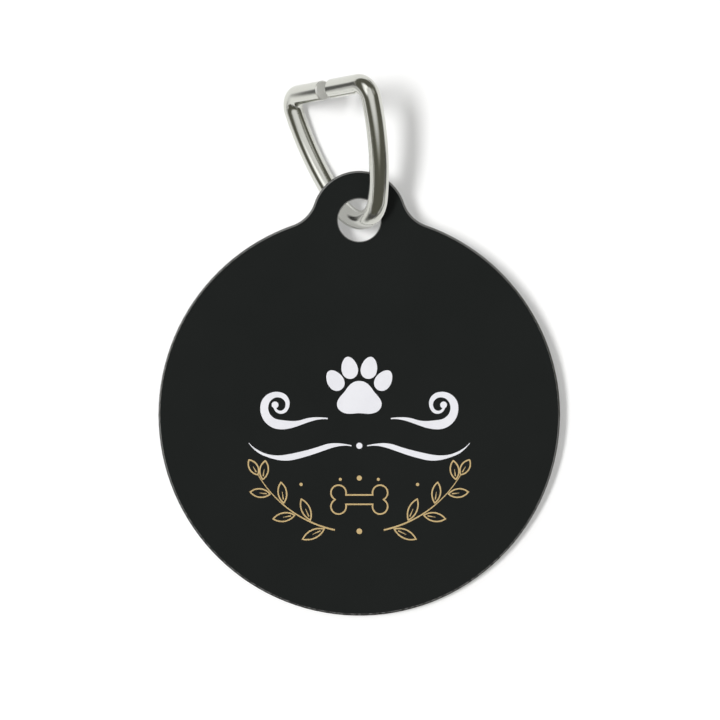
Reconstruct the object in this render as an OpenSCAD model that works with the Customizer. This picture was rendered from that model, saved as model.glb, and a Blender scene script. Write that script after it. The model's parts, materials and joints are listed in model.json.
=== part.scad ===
// Round pet identity tag with a bent-wire bail through the hole of its tab.
// The tag lies flat with its coated face up and its tab towards +Y. The bail passes through
// the hole at a slant, with its left leg under the tab and its right leg over it.
// The origin is on the surface that the part rests on, under the middle of its outline.

/* [Tag plate] */
// Diameter of the round plate
plate_d = 31.75; // [26:0.05:42]
// Thickness of the metal plate
plate_t = 1; // [0.6:0.05:1.2]
// Rounding of the plate's edges
edge_r = 0.15; // [0.05:0.01:0.25]
// Distance of the tab's centre inside the plate's edge
tab_set = 0.35; // [0:0.05:1.5]
// Width of metal round the hole
tab_wall = 2.05; // [1.2:0.05:3]
// Distance of the hole's centre inside the plate's edge
hole_set = 0.5; // [0.2:0.05:1]
// Extra width of the hole over the wire that passes through it
hole_play = 1.85; // [1.75:0.05:2.6]
// Rounding of the hole's edges
hole_edge_r = 0.05; // [0.03:0.01:0.15]
// Radius of the hollow on each side, between the tab and the plate's edge
neck_r = 2.8; // [1.5:0.1:6]

/* [Face coat] */
// Thickness of the coat on the face
coat_t = 0.05; // [0.03:0.01:0.15]
// Width of flat metal left bare between the coat and the plate's rounded edges
bare_w = 0.01; // [0.01:0.01:0.3]

/* [Bail] */
// Diameter of the wire
wire_d = 1.55; // [1.2:0.05:1.8]
// Width of the bail over its two top corners
bail_w = 11.8; // [11:0.05:14]
// Height of the bail from its foot to its top bar
bail_h = 12.2; // [11.5:0.05:14]
// Radius of the bend at the foot, on the wire's centreline
foot_bend_r = 3; // [2.6:0.1:4]
// Radius of the slow bow of each leg, on the wire's centreline
leg_bow_r = 19; // [14:0.5:40]
// Radius of the bends at the top corners, on the wire's centreline
corner_bend_r = 1.2; // [1.1:0.05:2.4]
// Gap between the wire's two ends, in the middle of the top bar
end_gap = 1.1; // [0.1:0.05:1.6]
// Chamfer round each wire end
end_chamfer = 0.1; // [0.02:0.01:0.3]

/* [Bail at rest] */
// Turn of the bail about its own upright, in degrees, from lying along the tag
bail_turn = 54; // [52:0.5:70]
// Lean of the bail's top away from the surface, in degrees
bail_lean = 8.3; // [4:0.1:12]
// Swing of the bail to the left about the hole, in degrees
bail_swing = 15.1; // [0:0.1:60]
// Place of the foot to the right of the hole's centre
foot_right = 0.28; // [0:0.01:0.4]
// Place of the foot above the hole's centre, towards the tab's top
foot_up = 0.04; // [-0.2:0.01:0.2]
// Place of the foot in front of the plate's middle layer
foot_front = 0.15; // [0:0.01:0.3]

/* [Hidden] */
$fn = 128;
overrun = 0.5;

plate_r = plate_d / 2;
wire_r = wire_d / 2;
hole_r = (wire_d + hole_play) / 2;
tab_r = hole_r + tab_wall;
tab_y = plate_r - tab_set;
hole_y = plate_r - hole_set;

// Centre of the right neck's hollow. Its circle runs a hair into the plate's and the tab's, so
// that the three cross cleanly where the eye sees them touch.
neck_bite = edge_r / 30;
to_plate = plate_r + neck_r - neck_bite;
to_tab = tab_r + neck_r - neck_bite;
neck_y = (to_plate ^ 2 - to_tab ^ 2 + tab_y ^ 2) / (2 * tab_y);
neck_x = sqrt(to_plate ^ 2 - neck_y ^ 2);

// The bail's centreline stands on [0, 0] in its own plane. Its right half is three arcs, each
// running on smoothly from the last, and a straight bar.
foot_c = [0, foot_bend_r];
corner_goal = [bail_w / 2 - wire_r - corner_bend_r, bail_h - wire_d - corner_bend_r];
foot_to_bow = leg_bow_r - foot_bend_r;
corner_to_bow = leg_bow_r - corner_bend_r;
foot_to_corner = corner_goal - foot_c;
bow_along = (foot_to_bow ^ 2 - corner_to_bow ^ 2 + foot_to_corner * foot_to_corner)
    / (2 * norm(foot_to_corner));
bow_across = sqrt(foot_to_bow ^ 2 - bow_along ^ 2);
bow_goal = foot_c + (bow_along * foot_to_corner
    + bow_across * [-foot_to_corner.y, foot_to_corner.x]) / norm(foot_to_corner);
// Directions in which the foot's bend ends and the corner's bend begins, to a hundredth of a
// degree, and the centres that then make each arc touch the next
function in_hundredths(value) = round(value * 100) / 100;
function bend_angle(from, to) = in_hundredths(atan2(to.y - from.y, to.x - from.x));
function heading(angle) = [cos(angle), sin(angle)];
foot_end = bend_angle(bow_goal, foot_c);
corner_start = bend_angle(bow_goal, corner_goal);
bow_c = foot_c - foot_to_bow * heading(foot_end);
corner_c = bow_c + corner_to_bow * heading(corner_start);
bar_y = corner_c.y + corner_bend_r;
// The tongue that joins one stretch of wire to the next, within the wire
tongue_d = wire_d / 2;
tongue_l = wire_d / 8;

// The way the bail's width and its height point, once it stands in the hole
width_dir = [
    cos(bail_swing) * cos(bail_turn) + sin(bail_swing) * sin(bail_lean) * sin(bail_turn),
    sin(bail_swing) * cos(bail_turn) - cos(bail_swing) * sin(bail_lean) * sin(bail_turn),
    cos(bail_lean) * sin(bail_turn)
];
height_dir = [
    -sin(bail_swing) * cos(bail_lean),
    cos(bail_swing) * cos(bail_lean),
    sin(bail_lean)
];

// How far the centreline reaches from its foot, in a direction of the bail's own plane
function reach(across, up) =
    let (size = norm([across, up]), angle = atan2(up, abs(across)))
    angle < foot_end ? up * foot_c.y + size * foot_bend_r
    : angle < corner_start ? abs(across) * bow_c.x + up * bow_c.y + size * leg_bow_r
    : abs(across) * corner_c.x + up * corner_c.y + size * corner_bend_r;

foot_z = plate_t / 2 + foot_front;
bail_top = hole_y + foot_up + reach(width_dir.y, height_dir.y) + wire_r;
bail_low = foot_z - reach(-width_dir.z, -height_dir.z) - wire_r;
// The plate's centre, in the frame of the whole part
plate_y = (plate_r - bail_top) / 2;
plate_z = -min(0, bail_low);

// Half section of a round plate with rounded edges
module rim_section(radius) {
    square([radius - edge_r, plate_t]);
    translate([0, edge_r]) square([radius, plate_t - 2 * edge_r]);
    for (z = [edge_r, plate_t - edge_r])
        translate([radius - edge_r, z]) circle(r = edge_r);
}

// Half section of a cutter that leaves rounded edges round a hole or a hollow
module throat_section(radius, rounding) {
    difference() {
        translate([0, -overrun]) square([radius + rounding, plate_t + 2 * overrun]);
        translate([radius, rounding]) square([rounding + overrun, plate_t - 2 * rounding]);
        for (z = [rounding, plate_t - rounding])
            translate([radius + rounding, z]) circle(r = rounding);
    }
}

// The kite between the four centres that the outline's arcs turn about
module neck_kite() {
    polygon([[0, 0], [neck_x, neck_y], [0, tab_y], [-neck_x, neck_y]]);
}

// The coat's outline: the tag's own, drawn in to the flat metal inside its rounded edges
module coat_outline() {
    margin = edge_r + bare_w;
    difference() {
        union() {
            circle(r = plate_r - margin);
            translate([0, tab_y]) circle(r = tab_r - margin);
            neck_kite();
        }
        for (side = [-1, 1])
            translate([side * neck_x, neck_y]) circle(r = neck_r + margin);
        translate([0, hole_y]) circle(r = hole_r + hole_edge_r + bare_w);
    }
}

// Puts a piece of the tag where the tag lies, above the surface
module at_tag() {
    translate([0, plate_y, plate_z]) children();
}

// Metal blank: a round plate and its tab, run together by two hollow necks
module tag_plate() {
    color("silver") at_tag() difference() {
        union() {
            rotate_extrude() rim_section(plate_r);
            translate([0, tab_y]) rotate_extrude() rim_section(tab_r);
            difference() {
                linear_extrude(plate_t) neck_kite();
                for (side = [-1, 1])
                    translate([side * neck_x, neck_y]) rotate_extrude()
                        throat_section(neck_r, edge_r);
            }
        }
        translate([0, hole_y]) rotate_extrude() throat_section(hole_r, hole_edge_r);
    }
}

// Black coat on the face, which stops short of the metal's rounded edges
module face_coat() {
    color([0.1, 0.11, 0.11]) at_tag() translate([0, 0, plate_t])
        linear_extrude(coat_t) coat_outline();
}

// Moves a piece of wire to its place by a step in whole hundredths and then by the small rest,
// which keeps the ends that meet exactly face to face
module at_place(place) {
    step = [for (v = place) in_hundredths(v)];
    translate(step) translate(place - step) children();
}

// A stretch of round rod bent about the origin, between two angles
module bent_rod(diameter, radius, from, to) {
    rotate_extrude(angle = to - from, start = from) translate([radius, 0]) circle(d = diameter);
}

// A bend of the wire about a centre. A thinner tongue at each of its ends reaches into the next
// stretch of wire and so makes the two one.
module wire_bend(centre, radius, from, to) {
    tongue = in_hundredths(tongue_l / radius * 180 / PI);
    at_place(centre) {
        bent_rod(wire_d, radius, from, to);
        bent_rod(tongue_d, radius, from - tongue, to + tongue);
    }
}

// Half of the top bar, from the gap to the corner, with its chamfered end
module half_bar() {
    length = corner_c.x - end_gap / 2;
    at_place([corner_c.x, bar_y]) rotate([0, -90, 0]) rotate_extrude() polygon([
        [0, 0],
        [wire_r, 0],
        [wire_r, length - end_chamfer],
        [wire_r - end_chamfer, length],
        [0, length]
    ]);
}

// Right leg, right corner and right half of the top bar
module right_half() {
    wire_bend(bow_c, leg_bow_r, foot_end, corner_start);
    wire_bend(corner_c, corner_bend_r, corner_start, 90);
    half_bar();
}

// The bail in its own plane: one wire bent round a foot, two bowed legs and two tight corners
module bent_wire() {
    wire_bend(foot_c, foot_bend_r, -180 - foot_end, foot_end);
    right_half();
    mirror([1, 0, 0]) right_half();
}

// Bail of polished wire, standing at a slant in the hole
module bail() {
    color("gainsboro") at_tag() translate([foot_right, hole_y + foot_up, foot_z])
        rotate([0, 0, bail_swing]) rotate([bail_lean, 0, 0]) rotate([0, -bail_turn, 0])
            bent_wire();
}

tag_plate();
face_coat();
bail();
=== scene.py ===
"""Dresses the round pet tag in its metals, coat and prints, and shows it in a plain pale studio."""

import json
import logging
import math
from dataclasses import dataclass
from enum import Enum
from functools import reduce

import bmesh
import bpy
from mathutils import Matrix, Vector


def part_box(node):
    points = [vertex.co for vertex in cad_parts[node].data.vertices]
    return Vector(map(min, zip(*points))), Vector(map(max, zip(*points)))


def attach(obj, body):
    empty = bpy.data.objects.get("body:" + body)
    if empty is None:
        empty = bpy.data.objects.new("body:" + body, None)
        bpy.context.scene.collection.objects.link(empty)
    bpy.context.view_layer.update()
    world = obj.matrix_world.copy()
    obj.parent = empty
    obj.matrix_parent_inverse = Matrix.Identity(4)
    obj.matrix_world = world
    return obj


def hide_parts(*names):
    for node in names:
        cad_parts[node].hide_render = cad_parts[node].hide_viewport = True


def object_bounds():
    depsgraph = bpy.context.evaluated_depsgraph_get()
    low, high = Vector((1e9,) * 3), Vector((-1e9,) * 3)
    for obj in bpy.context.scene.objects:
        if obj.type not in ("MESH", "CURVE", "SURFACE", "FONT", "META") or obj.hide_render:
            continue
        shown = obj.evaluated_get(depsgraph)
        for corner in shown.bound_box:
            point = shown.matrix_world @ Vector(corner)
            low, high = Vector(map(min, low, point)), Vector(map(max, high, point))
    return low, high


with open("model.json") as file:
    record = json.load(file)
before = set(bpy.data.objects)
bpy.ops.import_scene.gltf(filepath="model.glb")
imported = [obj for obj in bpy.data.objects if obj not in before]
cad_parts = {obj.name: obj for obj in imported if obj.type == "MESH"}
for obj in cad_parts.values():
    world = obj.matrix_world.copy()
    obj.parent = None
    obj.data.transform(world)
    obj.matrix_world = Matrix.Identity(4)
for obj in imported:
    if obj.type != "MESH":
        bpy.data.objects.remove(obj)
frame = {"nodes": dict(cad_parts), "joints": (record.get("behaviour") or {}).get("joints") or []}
CAD_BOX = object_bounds()

MM = 0.001
UP = Vector((0.0, 0.0, 1.0))
WHITE = (1.0, 1.0, 1.0, 1.0)
log = logging.getLogger("tag")

# The frame's own places, in millimetres
PLATE_LOW, PLATE_HIGH = (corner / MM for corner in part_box("tag_plate"))
PLATE_D = PLATE_HIGH.x - PLATE_LOW.x
FACE_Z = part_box("face_coat")[1].z / MM
HINGE = Vector(frame["joints"][0]["pos_m"]) / MM

Colour = tuple[float, float, float, float]
Edges = list[bmesh.types.BMEdge]
Geometry = list[bmesh.types.BMVert | bmesh.types.BMEdge | bmesh.types.BMFace]
Material = bpy.types.Material
Mesh = bmesh.types.BMesh
Pair = tuple[float, float]
Socket = bpy.types.NodeSocket
Sockets = bpy.types.bpy_prop_collection
Triple = tuple[float, float, float]
Verts = list[bmesh.types.BMVert]
Feed = float | tuple[float, ...] | Vector | Socket


class Slot(Enum):
    """The record's material slots."""

    BLANK = "blank_metal"
    COAT = "black_coat"
    WIRE = "bail_wire"
    WHITE = "white_ink"
    GOLD = "gold_ink"


class Body(Enum):
    """The bodies that the pieces ride on."""

    TAG = "tag"
    BAIL = "bail"


# Nodes


class Sheet:
    """A drawing board for the nodes of one material, group or world."""

    # Between these two lies nearly all of a noise
    NOISE = (0.3, 0.7)

    def __init__(self, tree: bpy.types.NodeTree) -> None:
        """Starts on a tree, which it empties."""
        self.tree = tree
        tree.nodes.clear()

    def add(self, kind: str, feeds: dict[str | int, Feed] | None = None,
            **options: object) -> bpy.types.Node:
        """Adds a node, sets its options and feeds its sockets.

        Args:
            kind: The node's type name.
            feeds: What each input gets, a value or another node's socket.
            options: The node's own settings.

        Returns:
            The new node.
        """
        node = self.tree.nodes.new(kind)
        for name, value in options.items():
            setattr(node, name, value)
        for key, value in (feeds or {}).items():
            if isinstance(value, Socket):
                self.tree.links.new(value, node.inputs[key])
            else:
                node.inputs[key].default_value = value
        return node

    def sum(self, operation: str, a: Feed, b: Feed = 0.0) -> Socket:
        """Works out one sum of two numbers, of a kind that the Math node names."""
        return self.add("ShaderNodeMath", {0: a, 1: b}, operation=operation).outputs[0]

    def plus(self, first: Feed, second: Feed, share: float) -> Socket:
        """Adds a share of one number to another."""
        return self.sum("ADD", first, self.sum("MULTIPLY", second, share))

    def most(self, *values: Feed) -> Socket:
        """Gives the largest of several numbers."""
        return reduce(lambda a, b: self.sum("MAXIMUM", a, b), values)

    def vectors(self, operation: str, a: Feed, b: Feed = (0.0, 0.0, 0.0)) -> Socket:
        """Works out one sum of vectors, whose result is a number for a dot product or a length."""
        result = "Value" if operation in ("DOT_PRODUCT", "LENGTH") else "Vector"
        return self.add("ShaderNodeVectorMath", {0: a, 1: b}, operation=operation).outputs[result]

    def span(self, value: Feed, low: Feed, high: Feed, to_low: Feed = 0.0, to_high: Feed = 1.0,
             curve: str = "SMOOTHSTEP") -> Socket:
        """Carries a value from one span to another without overshoot.

        Args:
            value: The value to carry over.
            low: Where the first span begins.
            high: Where the first span ends.
            to_low: Where the second span begins.
            to_high: Where the second span ends.
            curve: How the value runs between the ends.

        Returns:
            The result's socket.
        """
        feeds = {"Value": value, "From Min": low, "From Max": high, "To Min": to_low, "To Max": to_high}
        return self.add("ShaderNodeMapRange", feeds, interpolation_type=curve).outputs[0]

    def ease(self, share: Feed, first: Feed, last: Feed) -> Socket:
        """Runs smoothly from one number to another as a share goes from 0 to 1."""
        return self.span(share, 0.0, 1.0, first, last)

    def blend(self, share: Feed, first: Feed, second: Feed) -> Socket:
        """Blends a share of a second colour into a first one."""
        feeds = {0: share, 6: first, 7: second}
        return self.add("ShaderNodeMix", feeds, data_type="RGBA").outputs[2]

    def mapped(self, place: Socket, feeds: dict[str, Feed], kind: str = "POINT") -> Socket:
        """Moves, turns and stretches a place."""
        return self.add("ShaderNodeMapping", {"Vector": place, **feeds}, vector_type=kind).outputs[0]

    def millimetres(self) -> Socket:
        """Gives the place on the object in millimetres."""
        place = self.add("ShaderNodeTexCoord").outputs["Object"]
        return self.mapped(place, {"Scale": (1 / MM,) * 3})

    def parts(self, place: Socket) -> Sockets:
        """Takes a vector apart into its three numbers."""
        return self.add("ShaderNodeSeparateXYZ", {0: place}).outputs

    def noise(self, place: Socket, scale: Feed = 1.0, detail: float = 2.0,
              roughness: float = 0.5) -> Socket:
        """Makes noise from a place."""
        feeds = {"Vector": place, "Scale": scale, "Detail": detail, "Roughness": roughness}
        return self.add("ShaderNodeTexNoise", feeds).outputs[0]

    def grained(self, scale: float, tones: tuple[Colour, Colour]) -> Socket:
        """Blends two colours by a noise over the object."""
        return self.blend(self.noise(self.millimetres(), scale), *tones)

    def cone(self, way: Socket, middle: Vector, half: float, soft: float, value: float) -> Socket:
        """Fills a cone of directions with a value, which fades to nothing at the cone's edge.

        Args:
            way: The direction that is looked in.
            middle: The cone's middle.
            half: Its half angle, in degrees.
            soft: How far the fade reaches to both sides of the edge, in degrees.
            value: The value.

        Returns:
            The result's socket.
        """
        off = self.sum("ARCCOSINE", self.vectors("DOT_PRODUCT", way, middle))
        return self.span(off, math.radians(half - soft), math.radians(half + soft), value, 0.0)

    def behind(self) -> Socket:
        """Tells whether a face is seen from its back."""
        return self.add("ShaderNodeNewGeometry").outputs["Backfacing"]

    def clear(self) -> Socket:
        """Adds a shader that lets everything through."""
        return self.add("ShaderNodeBsdfTransparent").outputs[0]

    def close(self, shader: Socket) -> None:
        """Leads a shader to the material's output."""
        self.add("ShaderNodeOutputMaterial", {"Surface": shader})

    def close_between(self, share: Socket, first: Socket, second: Socket) -> None:
        """Leads a mix of two shaders to the material's output."""
        self.close(self.add("ShaderNodeMixShader", {0: share, 1: first, 2: second}).outputs[0])

    def close_surface(self, colour: Socket, rough: Socket, relief: Socket, bump: Pair,
                      others: dict[str, Feed]) -> None:
        """Leads a Principled surface to the material's output.

        Args:
            colour: Its colour.
            rough: Its roughness.
            relief: Its small height.
            bump: How strongly the relief shows, and its height in millimetres.
            others: What its other inputs get.
        """
        strength, height = bump
        feeds = {"Strength": strength, "Distance": height * MM, "Height": relief}
        normal = self.add("ShaderNodeBump", feeds).outputs[0]
        feeds = {"Base Color": colour, "Roughness": rough, "Normal": normal, **others}
        self.close(self.add("ShaderNodeBsdfPrincipled", feeds).outputs[0])


def new_group(name: str, sizes: dict[str, float],
              masks: tuple[str, ...]) -> tuple[Sheet, Sockets, Sockets]:
    """Starts a node group that several finishes share.

    Args:
        name: The group's name.
        sizes: The name and the default of each input after the place.
        masks: The names of the masks that the group puts out.

    Returns:
        The group's sheet, the sockets that it is given and the sockets that it fills.
    """
    tree = bpy.data.node_groups.new(name, "ShaderNodeTree")
    tree.interface.new_socket(name="Vector", in_out="INPUT", socket_type="NodeSocketVector")
    for label, default in sizes.items():
        socket = tree.interface.new_socket(name=label, in_out="INPUT", socket_type="NodeSocketFloat")
        socket.default_value = default
    for label in masks:
        tree.interface.new_socket(name=label, in_out="OUTPUT", socket_type="NodeSocketFloat")
    sheet = Sheet(tree)
    return sheet, sheet.add("NodeGroupInput").outputs, sheet.add("NodeGroupOutput").inputs


class Effects:
    """The effects that more than one finish uses, each built once.

    Each takes a place in millimetres, and its masks run from 0 to 1.
    """

    # Turn in degrees and shift of each set of scratches
    HAIR_SETS = ((12, 0.0), (67, 31.0), (131, 57.0))
    HAIR_DETAIL = 1.0
    # Noise at which a scratch begins, how much its share lowers that, and how softly it begins
    HAIR_EDGE = 0.78
    HAIR_GAIN = 0.5
    HAIR_SOFT = 0.05
    MOTTLE_DETAILS = (("Broad", 2.0), ("Fine", 3.0))
    MOTTLE_ROUGHNESS = 0.55
    RUB_SAMPLES = 6
    # How well a rounded normal matches the true one where the rub begins and where it is full
    RUB_MATCH = (0.995, 0.93)
    RUB_DETAIL = 4.0
    RUB_PATCHES = (0.38, 0.6)

    def __init__(self) -> None:
        """Builds the groups."""
        self.hairlines = self._hairlines()
        self.mottle = self._mottle()
        self.edge_rub = self._edge_rub()

    def _hairlines(self) -> bpy.types.NodeTree:
        """Builds fine scratches that cross each other at a few angles.

        Returns:
            The group. Its mask is 1 in a scratch and 0 beside it.
        """
        sizes = {"Length": 3.0, "Width": 0.03, "Share": 0.1}
        sheet, given, out = new_group("hairlines", sizes, ("Mask",))
        squeeze = sheet.add("ShaderNodeCombineXYZ", {
            0: sheet.sum("DIVIDE", 1.0, given["Length"]),
            1: sheet.sum("DIVIDE", 1.0, given["Width"]),
            2: 1.0,
        }).outputs[0]
        edge = sheet.plus(self.HAIR_EDGE, given["Share"], -self.HAIR_GAIN)
        top = sheet.sum("ADD", edge, self.HAIR_SOFT)
        lines = []
        for turn, shift in self.HAIR_SETS:
            turned = sheet.mapped(given["Vector"], {
                "Location": (shift, shift, 0.0), "Rotation": (0.0, 0.0, math.radians(turn)),
            })
            noise = sheet.noise(sheet.vectors("MULTIPLY", turned, squeeze), detail=self.HAIR_DETAIL)
            lines.append(sheet.span(noise, edge, top, curve="LINEAR"))
        sheet.tree.links.new(sheet.most(*lines), out["Mask"])
        return sheet.tree

    def _mottle(self) -> bpy.types.NodeTree:
        """Builds the soft unevenness that every real surface has.

        Returns:
            The group. It has a broad mask and a fine one.
        """
        sheet, given, out = new_group("mottle", {"Broad": 5.0, "Fine": 0.1}, ("Broad", "Fine"))
        for label, detail in self.MOTTLE_DETAILS:
            scale = sheet.sum("DIVIDE", 1.0, given[label])
            noise = sheet.noise(given["Vector"], scale, detail, self.MOTTLE_ROUGHNESS)
            sheet.tree.links.new(sheet.span(noise, *sheet.NOISE), out[label])
        return sheet.tree

    def _edge_rub(self) -> bpy.types.NodeTree:
        """Builds the rubbed look of outer edges, broken up by noise.

        Returns:
            The group. Its mask is 1 on a rubbed edge and 0 on a flat face.
        """
        sheet, given, out = new_group("edge_rub", {"Reach": 0.2 * MM, "Patch": 0.6}, ("Mask",))
        reach = {"Radius": given["Reach"]}
        rounded = sheet.add("ShaderNodeBevel", reach, samples=self.RUB_SAMPLES).outputs[0]
        true = sheet.add("ShaderNodeNewGeometry").outputs["Normal"]
        match = sheet.vectors("DOT_PRODUCT", rounded, true)
        scale = sheet.sum("DIVIDE", 1.0, given["Patch"])
        patches = sheet.noise(given["Vector"], scale, self.RUB_DETAIL)
        mask = sheet.sum("MULTIPLY", sheet.span(match, *self.RUB_MATCH),
                         sheet.span(patches, *self.RUB_PATCHES))
        sheet.tree.links.new(mask, out["Mask"])
        return sheet.tree

    def scratched(self, sheet: Sheet, place: Socket, length: float, width: float,
                  share: float) -> Socket:
        """Puts the scratches on a sheet."""
        feeds = {"Vector": place, "Length": length, "Width": width, "Share": share}
        return sheet.add("ShaderNodeGroup", feeds, node_tree=self.hairlines).outputs["Mask"]

    def mottled(self, sheet: Sheet, place: Socket, broad: float, fine: float) -> Sockets:
        """Puts the unevenness on a sheet."""
        feeds = {"Vector": place, "Broad": broad, "Fine": fine}
        return sheet.add("ShaderNodeGroup", feeds, node_tree=self.mottle).outputs

    def rubbed(self, sheet: Sheet, place: Socket, reach: float, patch: float) -> Socket:
        """Puts the rubbed edges on a sheet."""
        feeds = {"Vector": place, "Reach": reach * MM, "Patch": patch}
        return sheet.add("ShaderNodeGroup", feeds, node_tree=self.edge_rub).outputs["Mask"]


# Finishes


def new_material(name: str) -> tuple[Material, Sheet]:
    """Starts a material.

    Args:
        name: The material's name.

    Returns:
        The material and the sheet of its nodes.
    """
    material = bpy.data.materials.new(name)
    material.use_nodes = True
    return material, Sheet(material.node_tree)


def grey(tone: float) -> Colour:
    """Gives a plain grey."""
    return tone, tone, tone, 1.0


@dataclass(frozen=True)
class BlankMetal:
    """Aluminium sheet: satin back with a straight grain, tumbled edges with a dark band along their
    upper part.

    The band, partly coat overspray and partly painted shade, sets in between two shares of the
    thickness. Towards the foot of the tag it starts lower, by its rise in millimetres, and covers more:
    painted shade that darkens the lower rim.
    """

    metal: Colour = (0.70, 0.70, 0.69, 1.0)
    dulled: Colour = (0.58, 0.58, 0.57, 1.0)
    rubbed: Colour = (0.80, 0.80, 0.79, 1.0)
    # Dark upper edge band: partly coat overspray, partly painted shade
    overspray_and_shade: Colour = (0.06, 0.06, 0.058, 1.0)
    overspray_shade_shares: Pair = (0.70, 0.93)
    overspray_shade_rise: Pair = (0.2, 0.0)
    overspray_shade_depth: Pair = (1.0, 0.72)
    overspray_shade_turns_y: Pair = (-16.5, -8.5)
    overspray_shade_worn: float = 0.7
    grain_length: float = 9.0
    grain_width: float = 0.06
    grain_detail: float = 3.0
    mottle: Pair = (6.0, 0.25)
    rub: Pair = (0.2, 0.7)
    hair: Triple = (4.0, 0.05, 0.16)
    hair_rough: float = 0.08
    hair_depth: float = 0.8
    flat_roughness: Pair = (0.28, 0.40)
    rubbed_roughness: float = 0.2
    overspray_shade_roughness: float = 0.4
    bump: Pair = (0.35, 0.002)

    def make(self, effects: Effects) -> Material:
        """Builds the material.

        Args:
            effects: The shared effects.

        Returns:
            The material.
        """
        material, sheet = new_material(Slot.BLANK.value)
        place = sheet.millimetres()
        thin = 1 / self.grain_width
        drawn = sheet.mapped(place, {"Scale": (1 / self.grain_length, thin, thin)})
        grain = sheet.noise(drawn, detail=self.grain_detail)
        mottle = effects.mottled(sheet, place, *self.mottle)
        rub = effects.rubbed(sheet, place, *self.rub)
        hair = effects.scratched(sheet, place, *self.hair)
        tone = sheet.blend(sheet.sum("MULTIPLY", mottle["Broad"], grain), self.metal, self.dulled)
        colour = sheet.blend(rub, tone, self.rubbed)
        rough = sheet.span(grain, *sheet.NOISE, *self.flat_roughness)
        rough = sheet.ease(rub, sheet.plus(rough, hair, self.hair_rough), self.rubbed_roughness)
        # Dark upper edge band: coat overspray, with painted shade towards the foot
        overspray_shade_mask = self._overspray_and_shade(sheet, place, mottle["Fine"])
        colour = sheet.blend(overspray_shade_mask, colour, self.overspray_and_shade)
        rough = sheet.ease(overspray_shade_mask, rough, self.overspray_shade_roughness)
        relief = sheet.plus(grain, hair, -self.hair_depth)
        sheet.close_surface(colour, rough, relief, self.bump, {"Metallic": 1.0})
        return material

    def _overspray_and_shade(self, sheet: Sheet, place: Socket, fine: Socket) -> Socket:
        """Works out the dark band along the upper part of the edges: coat overspray, deepened towards
        the foot by painted shade.

        Args:
            sheet: The material's sheet.
            place: The place in millimetres.
            fine: The fine unevenness.

        Returns:
            The band's mask.
        """
        thick = PLATE_HIGH.z - PLATE_LOW.z
        low, high = (PLATE_LOW.z + thick * share for share in self.overspray_shade_shares)
        _, along, above = sheet.parts(place)
        # Towards the foot the band starts lower and goes deeper: painted shade
        height = sheet.sum("ADD", above, sheet.span(along, *self.overspray_shade_turns_y, *self.overspray_shade_rise))
        depth = sheet.span(along, *self.overspray_shade_turns_y, *self.overspray_shade_depth)
        patchy = sheet.ease(fine, depth, self.overspray_shade_worn)
        return sheet.sum("MULTIPLY", sheet.span(height, low, high), patchy)


@dataclass(frozen=True)
class BlackCoat:
    """Smooth black coat with a soft gloss, faint waviness and hairline scratches."""

    black: Colour = (0.0083, 0.0095, 0.0090, 1.0)
    greyed: Colour = (0.0093, 0.0105, 0.0100, 1.0)
    specular: float = 0.05
    roughness: Pair = (0.32, 0.37)
    mottle: Pair = (7.0, 0.9)
    hair: Triple = (5.0, 0.035, 0.06)
    hair_rough: float = 0.12
    hair_depth: float = 0.6
    bump: Pair = (0.12, 0.004)

    def make(self, effects: Effects) -> Material:
        """Builds the material.

        Args:
            effects: The shared effects.

        Returns:
            The material.
        """
        material, sheet = new_material(Slot.COAT.value)
        place = sheet.millimetres()
        mottle = effects.mottled(sheet, place, *self.mottle)
        hair = effects.scratched(sheet, place, *self.hair)
        colour = sheet.blend(mottle["Broad"], self.black, self.greyed)
        rough = sheet.plus(sheet.ease(mottle["Broad"], *self.roughness), hair, self.hair_rough)
        relief = sheet.plus(mottle["Fine"], hair, -self.hair_depth)
        sheet.close_surface(colour, rough, relief, self.bump, {"Specular IOR Level": self.specular})
        return material


@dataclass(frozen=True)
class PolishedWire:
    """Nickel-bright wire, with the faint lengthwise lines that its drawing left."""

    bright: Colour = (0.635, 0.640, 0.595, 1.0)
    shaded: Colour = (0.590, 0.590, 0.540, 1.0)
    sheared: Colour = (0.72, 0.72, 0.69, 1.0)
    line_length: float = 14.0
    line_width: float = 0.09
    mottle: Pair = (2.2, 0.16)
    rub: Pair = (0.15, 0.3)
    rub_rough: float = 0.1
    roughness: Pair = (0.13, 0.18)
    cut_edge: float = 0.3
    cut_roughness: Pair = (0.49, 0.61)
    cut_metallic: float = 0.75
    fine_relief: float = 0.3
    bump: Pair = (0.2, 0.0015)

    def make(self, effects: Effects) -> Material:
        """Builds the material.

        Args:
            effects: The shared effects.

        Returns:
            The material.
        """
        material, sheet = new_material(Slot.WIRE.value)
        place = sheet.add("ShaderNodeAttribute", attribute_name=BentWire.STRAIGHT).outputs["Vector"]
        cut = sheet.add("ShaderNodeAttribute", attribute_name=BentWire.CUT).outputs["Fac"]
        cut = sheet.span(cut, 0.0, self.cut_edge)
        thin = 1 / self.line_width
        lines = sheet.noise(sheet.mapped(place, {"Scale": (thin, thin, 1 / self.line_length)}))
        mottle = effects.mottled(sheet, place, *self.mottle)
        rub = effects.rubbed(sheet, place, *self.rub)
        colour = sheet.blend(sheet.sum("MULTIPLY", mottle["Broad"], lines), self.bright, self.shaded)
        colour = sheet.blend(cut, colour, self.sheared)
        rough = sheet.plus(sheet.span(lines, *sheet.NOISE, *self.roughness), rub, self.rub_rough)
        rough = sheet.ease(cut, rough, sheet.ease(mottle["Fine"], *self.cut_roughness))
        relief = sheet.plus(lines, mottle["Fine"], self.fine_relief)
        metal = sheet.ease(cut, 1.0, self.cut_metallic)
        sheet.close_surface(colour, rough, relief, self.bump, {"Metallic": metal})
        return material


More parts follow.
